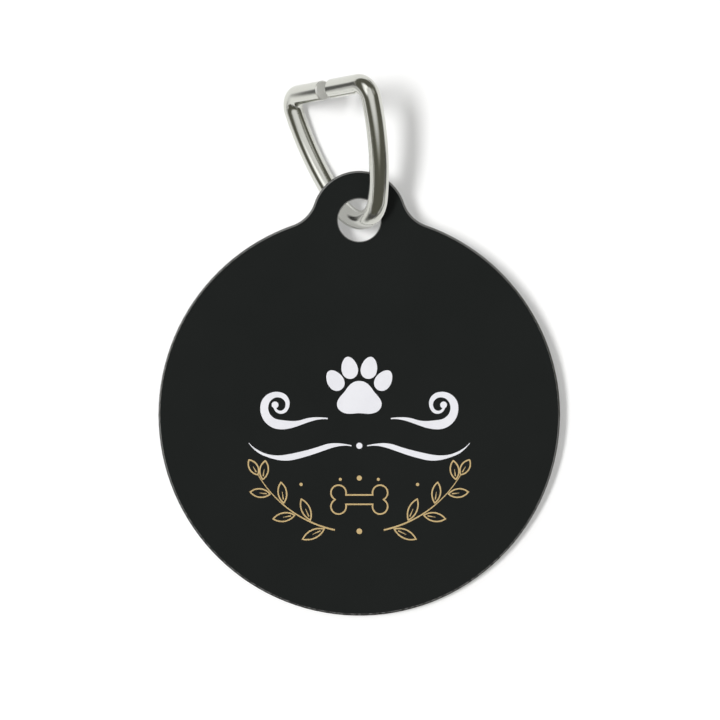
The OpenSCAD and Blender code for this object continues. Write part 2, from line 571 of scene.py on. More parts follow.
@dataclass(frozen=True)
class Ink:
    """A flat printed ink with a faint grain where the coat below shows through."""

    slot: Slot
    full: Colour
    thin: Colour
    roughness: Pair
    specular: float
    mottle: Pair = (1.6, 0.05)
    bump: Pair = (0.25, 0.003)

    def make(self, effects: Effects) -> Material:
        """Builds the material.

        Args:
            effects: The shared effects.

        Returns:
            The material.
        """
        material, sheet = new_material(self.slot.value)
        mottle = effects.mottled(sheet, sheet.millimetres(), *self.mottle)
        wear = sheet.sum("MULTIPLY", mottle["Broad"], mottle["Fine"])
        colour = sheet.blend(wear, self.full, self.thin)
        rough = sheet.ease(mottle["Fine"], *self.roughness)
        others = {"Specular IOR Level": self.specular}
        sheet.close_surface(colour, rough, mottle["Fine"], self.bump, others)
        return material


WHITE_INK = Ink(Slot.WHITE, (0.645, 0.645, 0.68, 1.0), (0.585, 0.585, 0.62, 1.0), (0.45, 0.55), 0.3)
GOLD_INK = Ink(Slot.GOLD, (0.45, 0.33, 0.157, 1.0), (0.375, 0.266, 0.119, 1.0), (0.40, 0.50), 0.35)


# Meshes


def verts_of(geometry: Geometry) -> Verts:
    """Picks the vertices out of what an operator returns."""
    return [part for part in geometry if isinstance(part, bmesh.types.BMVert)]


def edges_of(geometry: Geometry) -> Edges:
    """Picks the edges out of what an operator returns."""
    return [part for part in geometry if isinstance(part, bmesh.types.BMEdge)]


def middle_of(verts: Verts) -> Vector:
    """Gives the middle of some vertices."""
    return sum((vert.co for vert in verts), Vector()) / len(verts)


def new_object(name: str, mesh: Mesh, material: Material) -> bpy.types.Object:
    """Turns a mesh in millimetres into an object of the scene.

    Args:
        name: The object's name.
        mesh: The mesh, which is used up.
        material: What the object is dressed in.

    Returns:
        The object.
    """
    bmesh.ops.scale(mesh, vec=(MM,) * 3, verts=mesh.verts)
    data = bpy.data.meshes.new(name)
    mesh.to_mesh(data)
    mesh.free()
    data.materials.append(material)
    piece = bpy.data.objects.new(name, data)
    bpy.context.scene.collection.objects.link(piece)
    return piece


def finish_piece(name: str, mesh: Mesh, material: Material, body: Body) -> bpy.types.Object:
    """Turns a mesh in millimetres into a finished piece of the part.

    Args:
        name: The piece's name.
        mesh: The mesh, which is used up.
        material: What the piece is dressed in.
        body: The body that it rides on.

    Returns:
        The piece.
    """
    piece = new_object(name, mesh, material)
    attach(piece, body.value)
    log.info("%s: %d faces, rides on %s", name, len(piece.data.polygons), body.value)
    return piece


@dataclass
class BentWire:
    """The bail: one polished wire bent round a foot, two bowed legs and two tight corners.

    Sizes are in millimetres and angles in degrees. The wire is swept as one tube from its left end
    to its right end, in the bail's own plane, and then set in the hole. Its skin lies a hair inside
    the frame's wire.
    """

    STRAIGHT = "straight_wire"
    CUT = "cut_end"

    wire_d: float = 1.55
    inset: float = 0.003
    width: float = 11.8
    height: float = 12.2
    foot_r: float = 3.0
    bow_r: float = 19.0
    corner_r: float = 1.2
    end_gap: float = 1.1
    chamfer: float = 0.1
    turn: float = 54.0
    lean: float = 8.3
    swing: float = 15.1
    foot_right: float = 0.28
    foot_up: float = 0.04
    foot_above_back: float = 0.65
    sides: int = 56
    bar_steps: int = 4
    corner_steps: int = 30
    bow_steps: int = 36
    foot_steps: int = 56

    def make(self, material: Material) -> bpy.types.Object:
        """Builds the bail and sets it in the hole.

        Args:
            material: The wire's material.

        Returns:
            The piece.
        """
        foot, bow, corner, foot_end, corner_start = self._centres()
        mesh = bmesh.new()
        straight = mesh.verts.layers.float_vector.new(self.STRAIGHT)
        mesh.verts.layers.float.new(self.CUT)
        wire_r = self.wire_d / 2 - self.inset
        ring = bmesh.ops.create_circle(mesh, segments=self.sides, radius=wire_r)["verts"]
        for vert in ring:
            vert[straight] = vert.co
        start = (-self.end_gap / 2 - self.chamfer, corner.y + self.corner_r, 0)
        bmesh.ops.rotate(mesh, verts=ring, matrix=Matrix.Rotation(math.radians(-90), 3, "Y"))
        bmesh.ops.translate(mesh, verts=ring, vec=start)
        self._close_end(mesh, list(mesh.edges), Vector((1, 0, 0)))
        edges = [edge for edge in mesh.edges if set(edge.verts) <= set(ring)]
        bar = corner.x - self.end_gap / 2 - self.chamfer
        push = Matrix.Translation((-bar / self.bar_steps, 0, 0))
        bend, sway = 90 - corner_start, corner_start - foot_end
        edges = self._run(mesh, edges, push, bar, self.bar_steps)
        for centre, radius, angle, steps in (
            (Vector((-corner.x, corner.y, 0)), self.corner_r, bend, self.corner_steps),
            (Vector((-bow.x, bow.y, 0)), self.bow_r, sway, self.bow_steps),
            (foot, self.foot_r, 180 + 2 * foot_end, self.foot_steps),
            (bow, self.bow_r, sway, self.bow_steps),
            (corner, self.corner_r, bend, self.corner_steps),
        ):
            turn = Matrix.Rotation(math.radians(angle) / steps, 4, "Z")
            turn = Matrix.Translation(centre) @ turn @ Matrix.Translation(-centre)
            edges = self._run(mesh, edges, turn, radius * math.radians(angle), steps)
        edges = self._run(mesh, edges, push, bar, self.bar_steps)
        self._close_end(mesh, edges, Vector((-1, 0, 0)))
        bmesh.ops.recalc_face_normals(mesh, faces=mesh.faces)
        for face in mesh.faces:
            face.smooth = len(face.verts) == 4
        bmesh.ops.transform(mesh, matrix=self._place(), verts=mesh.verts)
        piece = finish_piece("bent_bail", mesh, material, Body.BAIL)
        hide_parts("bail")
        return piece

    def _centres(self) -> tuple[Vector, Vector, Vector, float, float]:
        """Works out where the three right-hand arcs turn.

        Returns:
            The centres of the foot's, the bow's and the corner's arc, and the directions in which
            the foot's arc ends and the corner's arc begins, in degrees.
        """
        corner_x = self.width / 2 - self.wire_d / 2 - self.corner_r
        foot = Vector((0, self.foot_r, 0))
        corner = Vector((corner_x, self.height - self.wire_d - self.corner_r, 0))
        across = corner - foot
        to_foot, to_corner = self.bow_r - self.foot_r, self.bow_r - self.corner_r
        along = (to_foot ** 2 - to_corner ** 2 + across.length_squared) / (2 * across.length)
        off = math.sqrt(to_foot ** 2 - along ** 2)
        bow = foot + (along * across + off * Vector((-across.y, across.x, 0))) / across.length
        foot_end = math.degrees(math.atan2(foot.y - bow.y, foot.x - bow.x))
        corner_start = math.degrees(math.atan2(corner.y - bow.y, corner.x - bow.x))
        return foot, bow, corner, foot_end, corner_start

    def _place(self) -> Matrix:
        """Works out how the bail stands in the hole.

        Returns:
            The matrix from the bail's own plane to the part's frame, in millimetres.
        """
        above = PLATE_LOW.z + self.foot_above_back
        return (
            Matrix.Translation((HINGE.x + self.foot_right, HINGE.y + self.foot_up, above))
            @ Matrix.Rotation(math.radians(self.swing), 4, "Z")
            @ Matrix.Rotation(math.radians(self.lean), 4, "X")
            @ Matrix.Rotation(math.radians(-self.turn), 4, "Y")
        )

    @staticmethod
    def _extrude(mesh: Mesh, edges: Edges) -> tuple[Verts, Edges]:
        """Starts the next ring of the tube.

        Args:
            mesh: The wire's mesh.
            edges: The last ring's edges.

        Returns:
            The new ring's vertices and edges.
        """
        drawn = bmesh.ops.extrude_edge_only(mesh, edges=edges)["geom"]
        verts = verts_of(drawn)
        return verts, [edge for edge in edges_of(drawn) if set(edge.verts) <= set(verts)]

    def _run(self, mesh: Mesh, edges: Edges, step: Matrix, length: float, steps: int) -> Edges:
        """Runs the tube on by equal steps.

        Args:
            mesh: The wire's mesh.
            edges: The last ring's edges.
            step: How each new ring lies to the one before it.
            length: The whole way along the wire's middle.
            steps: The number of new rings.

        Returns:
            The new last ring's edges.
        """
        straight = mesh.verts.layers.float_vector[self.STRAIGHT]
        for _ in range(steps):
            verts, edges = self._extrude(mesh, edges)
            bmesh.ops.transform(mesh, matrix=step, verts=verts)
            for vert in verts:
                vert[straight] = vert[straight] + UP * length / steps
        return edges

    def _close_end(self, mesh: Mesh, edges: Edges, way: Vector) -> None:
        """Ends the wire in a chamfer and a flat face.

        Args:
            mesh: The wire's mesh.
            edges: The last ring's edges.
            way: The direction out of the end.
        """
        verts, rim = self._extrude(mesh, edges)
        bmesh.ops.translate(mesh, verts=verts, vec=way * self.chamfer)
        inward = 1 - self.chamfer / (self.wire_d / 2)
        own = Matrix.Translation(-middle_of(verts))
        bmesh.ops.scale(mesh, verts=verts, vec=(inward,) * 3, space=own)
        cut = mesh.verts.layers.float[self.CUT]
        for vert in verts:
            vert[cut] = 1.0
        bmesh.ops.contextual_create(mesh, geom=rim)
        for edge in [*edges, *rim]:
            edge.smooth = False


# Prints

# Points nearer to each other than this share of a line's width become one
MERGE_SHARE = 0.01


class Pen:
    """A broad nib that lays down a flat ribbon of faces as it travels over the face."""

    def __init__(self, mesh: Mesh, at: Pair, heading: float, width: float) -> None:
        """Sets the nib down across its heading.

        Args:
            mesh: The figure's mesh.
            at: Where the stroke starts.
            heading: Its direction, in degrees from +X.
            width: The stroke's width there.
        """
        self.mesh = mesh
        self.at = Vector((*at, 0))
        self.heading = math.radians(heading)
        self.width = width
        across = Vector((-math.sin(self.heading), math.cos(self.heading), 0)) * width / 2
        self.edge = mesh.edges.new([mesh.verts.new(self.at + side * across) for side in (-1, 1)])

    def travel(self, length: float, turn: float, width: float, steps: int = 14) -> None:
        """Draws one stretch of even bend.

        Args:
            length: The stretch's length.
            turn: How far it turns to the left, in degrees.
            width: The stroke's width at the stretch's end.
            steps: The number of faces.
        """
        first = self.width
        turn_step = math.radians(turn) / steps
        for step in range(1, steps + 1):
            share = step / steps
            wide = first + (width - first) * share * share * (3 - 2 * share)
            drawn = bmesh.ops.extrude_edge_only(self.mesh, edges=[self.edge])["geom"]
            verts = verts_of(drawn)
            self.edge = next(edge for edge in edges_of(drawn) if set(edge.verts) == set(verts))
            middle = self.heading + turn_step / 2
            way = Vector((math.cos(middle), math.sin(middle), 0)) * length / steps
            turned = Matrix.Rotation(turn_step, 3, "Z")
            own = Matrix.Translation(-self.at)
            bmesh.ops.rotate(self.mesh, verts=verts, cent=self.at, matrix=turned)
            bmesh.ops.scale(self.mesh, verts=verts, vec=(wide / self.width,) * 3, space=own)
            bmesh.ops.translate(self.mesh, verts=verts, vec=way)
            self.at += way
            self.heading += turn_step
            self.width = wide


@dataclass(frozen=True)
class Stroke:
    """A pen stroke. A stretch of it is a length, a turn to the left and a width at its end."""

    start: Pair
    heading: float
    width: float
    stretches: tuple[tuple[float, ...], ...]

    def draw(self) -> tuple[Mesh, Vector]:
        """Draws the stroke.

        Returns:
            The figure, and where the stroke ends.
        """
        figure = bmesh.new()
        pen = Pen(figure, self.start, self.heading, self.width)
        for stretch in self.stretches:
            pen.travel(*stretch)
        return figure, pen.at


def polar(radius: float, angle: float) -> Pair:
    """Gives the place at a distance from the origin, in a direction in degrees from +X."""
    return radius * math.cos(math.radians(angle)), radius * math.sin(math.radians(angle))


def disc(radius: float, segments: int = 32) -> Mesh:
    """Makes a filled round figure at the origin.

    Args:
        radius: Its radius.
        segments: The number of sides.

    Returns:
        The figure.
    """
    figure = bmesh.new()
    bmesh.ops.create_circle(figure, cap_ends=True, segments=segments, radius=radius)
    return figure


def double(figure: Mesh, axis: str, line: float) -> None:
    """Adds a figure's mirror image, and joins the two where they meet."""
    both = [*figure.verts, *figure.edges]
    bmesh.ops.mirror(figure, geom=both, axis=axis, merge_dist=line * MERGE_SHARE)


def outline(figure: Mesh, line: float) -> None:
    """Turns a closed chain of edges into a drawn outline.

    Args:
        figure: The figure, whose edges close on themselves.
        line: The line's width, inside the chain.
    """
    bmesh.ops.remove_doubles(figure, verts=figure.verts, dist=line * MERGE_SHARE)
    face = bmesh.ops.contextual_create(figure, geom=figure.edges)["faces"][0]
    bmesh.ops.inset_region(figure, faces=[face], thickness=line, use_boundary=True, use_even_offset=True)
    bmesh.ops.delete(figure, geom=[face], context="FACES")


@dataclass(frozen=True)
class Leaf:
    """A pointed leaf in outline, with a short midrib. It points along +X from its stalk."""

    length: float = 2.0
    width: float = 0.78
    line: float = 0.11
    steps: int = 14
    rib_start: float = 0.2
    rib_share: float = 0.34
    rib_widths: Pair = (0.9, 0.3)
    rib_steps: int = 4

    def draw(self) -> Mesh:
        """Draws the leaf.

        Returns:
            The figure.
        """
        sag = self.width / 2
        radius = (self.length ** 2 / 4 + sag ** 2) / (2 * sag)
        half = math.asin(self.length / 2 / radius)
        figure = bmesh.new()
        start = figure.verts.new((0, 0, 0))
        bmesh.ops.spin(figure, geom=[start], cent=(self.length / 2, sag - radius, 0), axis=UP,
                       angle=-2 * half, steps=self.steps, use_duplicate=False)
        double(figure, "Y", self.line)
        outline(figure, self.line)
        first, last = (self.line * share for share in self.rib_widths)
        rib = Pen(figure, (self.length * self.rib_start, 0), 0, first)
        rib.travel(self.length * self.rib_share, 0, last, self.rib_steps)
        return figure


@dataclass(frozen=True)
class Bone:
    """A bone in outline: a shaft with two round lobes at each end."""

    length: float = 4.6
    lobe_r: float = 0.66
    lobe_rise: float = 0.82
    shaft: float = 0.86
    line: float = 0.12
    steps: int = 26

    def draw(self) -> Mesh:
        """Draws the bone.

        Returns:
            The figure.
        """
        half_shaft = self.shaft / 2
        lobe = Vector((self.length / 2 - self.lobe_r, self.lobe_r * self.lobe_rise, 0))
        back = math.sqrt(self.lobe_r ** 2 - (lobe.y - half_shaft) ** 2)
        ahead = math.sqrt(self.lobe_r ** 2 - lobe.y ** 2)
        first = math.atan2(half_shaft - lobe.y, -back)
        last = math.atan2(-lobe.y, ahead)
        figure = bmesh.new()
        middle = figure.verts.new((0, half_shaft, 0))
        end = figure.verts.new((lobe.x - back, half_shaft, 0))
        figure.edges.new([middle, end])
        bmesh.ops.spin(figure, geom=[end], cent=lobe, axis=UP, angle=-((first - last) % math.tau),
                       steps=self.steps, use_duplicate=False)
        double(figure, "X", self.line)
        double(figure, "Y", self.line)
        outline(figure, self.line)
        return figure


@dataclass(frozen=True)
class Paw:
    """A paw print: a three-lobed pad under four oval toes."""

    pad_r: float = 1.42
    pad_sides: int = 72
    pad_lobes: float = 0.15
    pad_waist: float = 0.035
    pad_stretch: Triple = (1.13, 0.93, 1.0)
    toe_r: float = 0.64
    toe_sides: int = 40
    toe_taper: float = 0.16
    toe_stretch: Triple = (1.0, 1.38, 1.0)

    def pad(self) -> Mesh:
        """Draws the pad.

        Returns:
            The figure.
        """
        figure = disc(self.pad_r, self.pad_sides)
        for vert in figure.verts:
            angle = math.atan2(vert.co.y, vert.co.x)
            vert.co *= 1 - self.pad_lobes * math.sin(3 * angle) + self.pad_waist * math.cos(2 * angle)
        bmesh.ops.scale(figure, vec=self.pad_stretch, verts=figure.verts)
        return figure

    def toe(self) -> Mesh:
        """Draws one toe, upright.

        Returns:
            The figure.
        """
        figure = disc(self.toe_r, self.toe_sides)
        for vert in figure.verts:
            vert.co.x *= 1 - self.toe_taper * vert.co.y / self.toe_r
        bmesh.ops.scale(figure, vec=self.toe_stretch, verts=figure.verts)
        return figure


class Print:
    """One colour of print: flat figures, each raised a little and set down on the coat."""

    THICKNESS = 0.012
    SUNK = 0.003

    def __init__(self, name: str) -> None:
        """Starts an empty print under a name."""
        self.name = name
        self.mesh = bmesh.new()

    def stamp(self, figure: Mesh, at: Pair = (0, 0), turn: float = 0, paired: bool = False,
              lift: float = 0) -> None:
        """Raises a figure and sets it down, measured from the plate's centre.

        Args:
            figure: The flat figure, which is used up.
            at: Where its origin goes.
            turn: How far it is turned to the left, in degrees.
            paired: Whether a mirrored one goes on the other side of the upright.
            lift: How much thicker it is than the rest.
        """
        thick = self.THICKNESS + self.SUNK + lift
        faces = list(figure.faces)
        raised = bmesh.ops.extrude_face_region(figure, geom=faces, use_keep_orig=True)["geom"]
        bmesh.ops.translate(figure, verts=verts_of(raised), vec=UP * thick)
        data = bpy.data.meshes.new(self.name)
        figure.to_mesh(data)
        figure.free()
        place = Matrix.Translation((*at, -self.SUNK)) @ Matrix.Rotation(math.radians(turn), 4, "Z")
        for side in (1, -1)[: 2 if paired else 1]:
            copy = data.copy()
            copy.transform(Matrix.Diagonal((side, 1, 1, 1)) @ place)
            self.mesh.from_mesh(copy)
            bpy.data.meshes.remove(copy)
        bpy.data.meshes.remove(data)

    def make(self, material: Material, slot: Slot) -> bpy.types.Object:
        """Closes the print and sets it on the tag.

        Args:
            material: The ink.
            slot: The record's slot for it; not used.

        Returns:
            The piece.
        """
        centre = ((PLATE_LOW.x + PLATE_HIGH.x) / 2, PLATE_LOW.y + PLATE_D / 2, FACE_Z)
        bmesh.ops.recalc_face_normals(self.mesh, faces=self.mesh.faces)
        bmesh.ops.translate(self.mesh, verts=self.mesh.verts, vec=centre)
        return finish_piece(self.name, self.mesh, material, Body.TAG)


@dataclass
class FaceArt:
    """The printed emblem: a white paw between two flourishes, over a gold garland and bone.

    Sizes are in millimetres and angles in degrees, and places are measured from the plate's centre.
    """

    OVERLAP = 0.001

    paw_y: float = 1.2
    # The outer toes lean more: each degree draws them in a little, and they turn by part of it
    toe_leans: Pair = (18, 54)
    toe_reach: float = 2.55
    toe_draw_in: float = 0.0016
    toe_widen: float = 1.02
    toe_rise: float = 0.15
    toe_follow: float = 0.62
    volute: Stroke = Stroke((2.5, -0.3), 6, 0.1, (
        (1.9, -26, 0.34), (2.0, 26, 0.74), (2.1, 92, 0.62), (1.75, 98, 0.42),
        (1.45, 112, 0.28), (0.95, 112, 0.2), (0.35, 50, 0.2),
    ))
    curl_r: float = 0.27
    sweep: Stroke = Stroke((0.62, -2.45), 12, 0.08, (
        (2.2, -32, 0.42), (2.6, 8, 0.5), (2.3, 34, 0.2), (1.5, 30, 0.05),
    ))
    bead_y: float = -2.45
    bead_r: float = 0.24
    garland_r: float = 9.3
    garland_ends: Pair = (-78.0, -31.0)
    garland_line: float = 0.13
    garland_taper: float = 0.5
    garland_steps: int = 40
    leaf_count: int = 6
    leaf_start: float = 0.6
    leaf_off: float = 0.6
    leaf_splay: float = 42
    leaf_lengths: Pair = (2.1, 1.6)
    tip_length: float = 1.5
    bone_y: float = -6.7
    dots: tuple[Triple, ...] = ((0, -5.0, 0.2), (1.5, -5.1, 0.12), (0, -9.2, 0.22), (4.6, -5.5, 0.13))

    def make(self, white: Material, gold: Material) -> None:
        """Prints both colours."""
        self._white(Print("white_print")).make(white, Slot.WHITE)
        self._gold(Print("gold_print")).make(gold, Slot.GOLD)

    def _white(self, sheet: Print) -> Print:
        """Draws the paw and the flourishes.

        Args:
            sheet: The white print.

        Returns:
            The print.
        """
        paw = Paw()
        sheet.stamp(paw.pad(), (0, self.paw_y))
        for lean in self.toe_leans:
            across, up = polar(self.toe_reach * (1 - self.toe_draw_in * lean), 90 - lean)
            place = (across * self.toe_widen, self.paw_y + self.toe_rise + up)
            sheet.stamp(paw.toe(), place, -lean * self.toe_follow, paired=True)
        scroll, end = self.volute.draw()
        sheet.stamp(scroll, paired=True)
        sheet.stamp(disc(self.curl_r), end.xy, paired=True, lift=self.OVERLAP)
        sheet.stamp(self.sweep.draw()[0], paired=True)
        sheet.stamp(disc(self.bead_r), (0, self.bead_y))
        return sheet

    def _gold(self, sheet: Print) -> Print:
        """Draws the garland, the bone and the dots.

        Args:
            sheet: The gold print.

        Returns:
            The print.
        """
        first, last = self.garland_ends
        run = math.radians(last - first) * self.garland_r
        tip_width = self.garland_line * self.garland_taper
        stem = Stroke(polar(self.garland_r, first), first + 90, self.garland_line,
                      ((run, last - first, tip_width, self.garland_steps),))
        sheet.stamp(stem.draw()[0], paired=True)
        longest, shortest = self.leaf_lengths
        for count in range(self.leaf_count):
            share = (count + self.leaf_start) / self.leaf_count
            angle = first + (last - first) * share
            side = -1 if count % 2 else 1
            place = polar(self.garland_r + self.garland_line * self.leaf_off * side, angle)
            leaf = Leaf(length=longest + (shortest - longest) * share).draw()
            sheet.stamp(leaf, place, angle + 90 - self.leaf_splay * side, paired=True,
                        lift=self.OVERLAP * (1 + count))
        tip = Leaf(length=self.tip_length).draw()
        sheet.stamp(tip, polar(self.garland_r, last), last + 90, paired=True)
        sheet.stamp(Bone().draw(), (0, self.bone_y))
        for x, y, radius in self.dots:
            sheet.stamp(disc(radius), (x, y), paired=x > 0)
        return sheet


# Studio


def towards(zenith: float, compass: float) -> Vector:
    """Gives a direction by its angle from straight up and its compass angle from +X, in degrees."""
    lean = Matrix.Rotation(math.radians(zenith), 3, "Y")
    return Matrix.Rotation(math.radians(compass), 3, "Z") @ lean @ UP


@dataclass(frozen=True)
class Lamp:
    """An oval soft lamp that looks at the part, and that nothing mirrors.

    Its place is given by how far it stands from the zenith and by its compass direction from +X.
    Its half angles are the one across that direction and the one along it. Its distance is in
    metres.
    """

    name: str
    zenith: float
    compass: float
    half_angles: Pair
    brightness: float
    distance: float = 1.5

    def hang(self, aim: Vector) -> None:
        """Hangs the lamp.

        Args:
            aim: The point that it looks at.
        """
        back = towards(self.zenith, self.compass)
        across, along = (self.distance * math.tan(math.radians(angle)) for angle in self.half_angles)
        data = bpy.data.lights.new(self.name, "AREA")
        data.shape = "ELLIPSE"
        data.size = 2 * across
        data.size_y = 2 * along
        data.energy = self.brightness * math.pi * math.pi * across * along
        lamp = bpy.data.objects.new(self.name, data)
        lamp.location = aim + back * self.distance
        lamp.rotation_euler = back.to_track_quat("Z", "Y").to_euler()
        lamp.visible_camera = False
        lamp.visible_glossy = False
        bpy.context.scene.collection.objects.link(lamp)
        log.info("%s: hung", self.name)


@dataclass(frozen=True)
class Glow:
    """A soft round patch of light in the cove, placed like a lamp. Its sizes are angles."""

    zenith: float
    compass: float
    radius: float
    soft: float
    brightness: float

    def shine(self, sheet: Sheet, way: Socket) -> Socket:
        """Works out the patch's light in a direction."""
        middle = towards(self.zenith, self.compass)
        return sheet.cone(way, middle, self.radius, self.soft, self.brightness)


@dataclass(frozen=True)
class Flag:
    """A wedge of shade that the wire mirrors, with soft edges.

    It spreads to both sides of a compass direction and starts at a distance in millimetres.
    """

    # Shares of its distance between which it sets in
    ONSET = (0.7, 1.4)

    compass: float
    spread: float
    soft: float
    near: float
    depth: float = 1.0

    def shade(self, sheet: Sheet, place: Socket) -> Socket:
        """Works out how much the wedge covers.

        Args:
            sheet: The material's sheet.
            place: The place in the level, in millimetres from the wedge's tip.

        Returns:
            The cover's socket.
        """
        way = sheet.vectors("NORMALIZE", place)
        side = sheet.cone(way, towards(90, self.compass), self.spread, self.soft, self.depth)
        onset = (self.near * share for share in self.ONSET)
        return sheet.sum("MULTIPLY", side, sheet.span(sheet.vectors("LENGTH", place), *onset))


@dataclass
class Studio:
    """The pale floor that the tag lies on, the lamp, the cove with its soft lights, and the camera.

    The flags, the reflector and the sleeve show only as reflections: painted shade and painted light
    that the wire mirrors. Sizes are in millimetres.
    """

    plate_px: float = 402.1
    plate_centre_px: Pair = (359.3, 414.75)
    image_px: float = 720.0
    camera_above: float = 250.0
    camera_near: float = 10.0
    floor_side: float = 3000.0
    floor_tones: Pair = (0.62, 0.6169)
    floor_grain: float = 0.04
    floor_glow: float = 0.24
    card_grain: float = 0.5
    flag_side: float = 1600.0
    flag_tones: Pair = (0.07, 0.084)
    flag_lift: float = 0.05
    flag_centre: Pair = (-2.0, 15.0)
    reflector_r: Pair = (1.76, 9.0)
    reflector_lift: float = 0.06
    reflector_tones: tuple[Colour, Colour] = ((0.97, 0.97, 0.96, 1.0), (1.0, 1.0, 0.99, 1.0))
    sleeve_r: float = 1.69
    sleeve_reach: float = 0.4
    sleeve_painted_tones: Pair = (0.61, 1.0)
    # How far above the plate's back the sleeve's painted shade begins to pale, and how far below the
    # face it ends
    sleeve_margins: Pair = (0.27, 0.03)
    ring_sides: int = 64
    spot_at: Triple = (-1.67, 0.24, 0.14)
    spot_half: Triple = (0.75, 0.6, 0.19)
    spot_tilt: float = -15.0
    spot_fade: Pair = (0.6, 1.5)
    spot_painted_shade: float = 0.03
    horizon: Pair = (-0.03, 0.02)
    cove_dim: float = 0.118
    cove_white_from: float = 0.6
    cove_warm: Colour = (1.0, 0.99, 0.80, 1.0)
    key_lamp: Lamp = Lamp("key_lamp", 19.5, 172, (10.0, 4.6), 61.6)
    glows: tuple[Glow, ...] = (
        Glow(5.8, 291, 32.9, 15.9, 0.98),
        Glow(39.5, 133, 16.5, 10.7, 1.58),
        Glow(34.1, 155, 10.1, 5.1, 1.06),
        Glow(34.6, 166, 13.9, 13.9, 1.84),
        Glow(49.0, 34, 14.0, 7.0, 0.45),
        Glow(79.2, 214, 3.5, 3.5, 1.60),
        Glow(23.7, 72, 16.5, 7.3, 0.96),
        Glow(93.1, 199, 9.9, 5.0, 0.79),
        Glow(36.8, 114, 9.8, 4.4, 1.57),
    )
    flags: tuple[Flag, ...] = (
        Flag(170, 14, 9, 12),
        Flag(190, 8, 6, 14, 0.4),
        Flag(255, 32, 6, 30),
        Flag(300, 16, 8, 40, 0.45),
        Flag(338, 13, 8, 25),
        Flag(353, 10, 8, 50, 0.7),
        Flag(56, 16, 9, 52),
        Flag(218, 8, 5, 60, 0.5),
    )
    ring_flags: tuple[Flag, ...] = (
        Flag(106, 30, 9, 1.7),
        Flag(228, 20, 14, 3.6, 0.8),
    )

    def build(self) -> None:
        """Sets up the whole studio."""
        low, high = CAD_BOX
        self.key_lamp.hang((low + high) / 2)
        floor = self._lay("floor", self.floor_side, 0.0, self._floor_paper())
        floor.visible_camera = True
        floor.visible_diffuse = True
        floor.visible_shadow = True
        self._lay("flags", self.flag_side, self.flag_lift, self._flag_cloth())
        self._reflector()
        self._sleeve()
        self._cove()
        self._camera()
        bpy.context.scene.view_settings.view_transform = "Standard"

    @staticmethod
    def _stand(name: str, mesh: Mesh, material: Material) -> bpy.types.Object:
        """Makes a piece of the set that at first shows only as a reflection.

        Args:
            name: The piece's name.
            mesh: Its mesh in millimetres, which is used up.
            material: Its material.

        Returns:
            The piece.
        """
        piece = new_object(name, mesh, material)
        piece.visible_camera = False
        piece.visible_diffuse = False
        piece.visible_shadow = False
        log.info("%s: staged", name)
        return piece

    @staticmethod
    def _face(mesh: Mesh, goal: Vector) -> None:
        """Turns a strip of faces so that it looks towards a point.

        Args:
            mesh: The strip.
            goal: The point.
        """
        bmesh.ops.recalc_face_normals(mesh, faces=mesh.faces)
        side = next(iter(mesh.faces))
        if side.normal.dot(goal - side.calc_center_median()) < 0:
            bmesh.ops.reverse_faces(mesh, faces=mesh.faces)

    def _lay(self, name: str, side: float, lift: float, material: Material) -> bpy.types.Object:
        """Lays a sheet where the plate's rim and the bail's lowest point touch the ground.

        Args:
            name: The sheet's name.
            side: How long its sides are.
            lift: How far it lies above the ground.
            material: Its material.

        Returns:
            The sheet.
        """
        rim = PLATE_LOW
        bail = frame["nodes"]["bail"].data.vertices
        wire = min((vert.co for vert in bail), key=lambda place: place.z) / MM
        slope = (wire.z - rim.z) / (wire.y - rim.y)
        base = rim.z - slope * rim.y + lift
        mesh = bmesh.new()
        bmesh.ops.create_grid(mesh, x_segments=1, y_segments=1, size=side / 2)
        ground = Matrix(((1, 0, 0, 0), (0, 1, 0, 0), (0, slope, 1, base), (0, 0, 0, 1)))
        bmesh.ops.transform(mesh, matrix=ground, verts=mesh.verts)
        return self._stand(name, mesh, material)

    @staticmethod
    def _cover(sheet: Sheet, flags: tuple[Flag, ...], centre: Pair) -> Socket:
        """Works out how much several wedges of shade cover together.

        Args:
            sheet: The material's sheet.
            flags: The wedges.
            centre: Their tips' place.

        Returns:
            The cover's socket.
        """
        flat = {"Location": (-centre[0], -centre[1], 0.0), "Scale": (1.0, 1.0, 0.0)}
        place = sheet.mapped(sheet.millimetres(), flat)
        return sheet.most(*(flag.shade(sheet, place) for flag in flags))

    def _flag_cloth(self) -> Material:
        """Makes the dark cloth that shades the floor's reflection, clear between the wedges.

        Returns:
            The material.
        """
        material, sheet = new_material("flags")
        tone = sheet.grained(self.card_grain, tuple(map(grey, self.flag_tones)))
        cloth = sheet.add("ShaderNodeBsdfDiffuse", {"Color": tone}).outputs[0]
        cover = self._cover(sheet, self.flags, self.flag_centre)
        sheet.close_between(cover, sheet.clear(), cloth)
        return material

    def _floor_paper(self) -> Material:
        """Makes the floor's pale paper, which is clear from below.

        Returns:
            The material.
        """
        material, sheet = new_material("floor")
        tone = sheet.grained(self.floor_grain, tuple(map(grey, self.floor_tones)))
        paper = sheet.add("ShaderNodeBsdfDiffuse", {"Color": tone}).outputs[0]
        path = sheet.add("ShaderNodeLightPath").outputs
        rays = ("Is Camera Ray", "Is Glossy Ray", "Is Transmission Ray")
        seen = sheet.most(*(path[ray] for ray in rays))
        strength = sheet.sum("MULTIPLY", seen, self.floor_glow)
        glow = sheet.add("ShaderNodeEmission", {"Color": WHITE, "Strength": strength}).outputs[0]
        lit = sheet.add("ShaderNodeAddShader", {0: paper, 1: glow}).outputs[0]
        sheet.close_between(sheet.behind(), lit, sheet.clear())
        return material

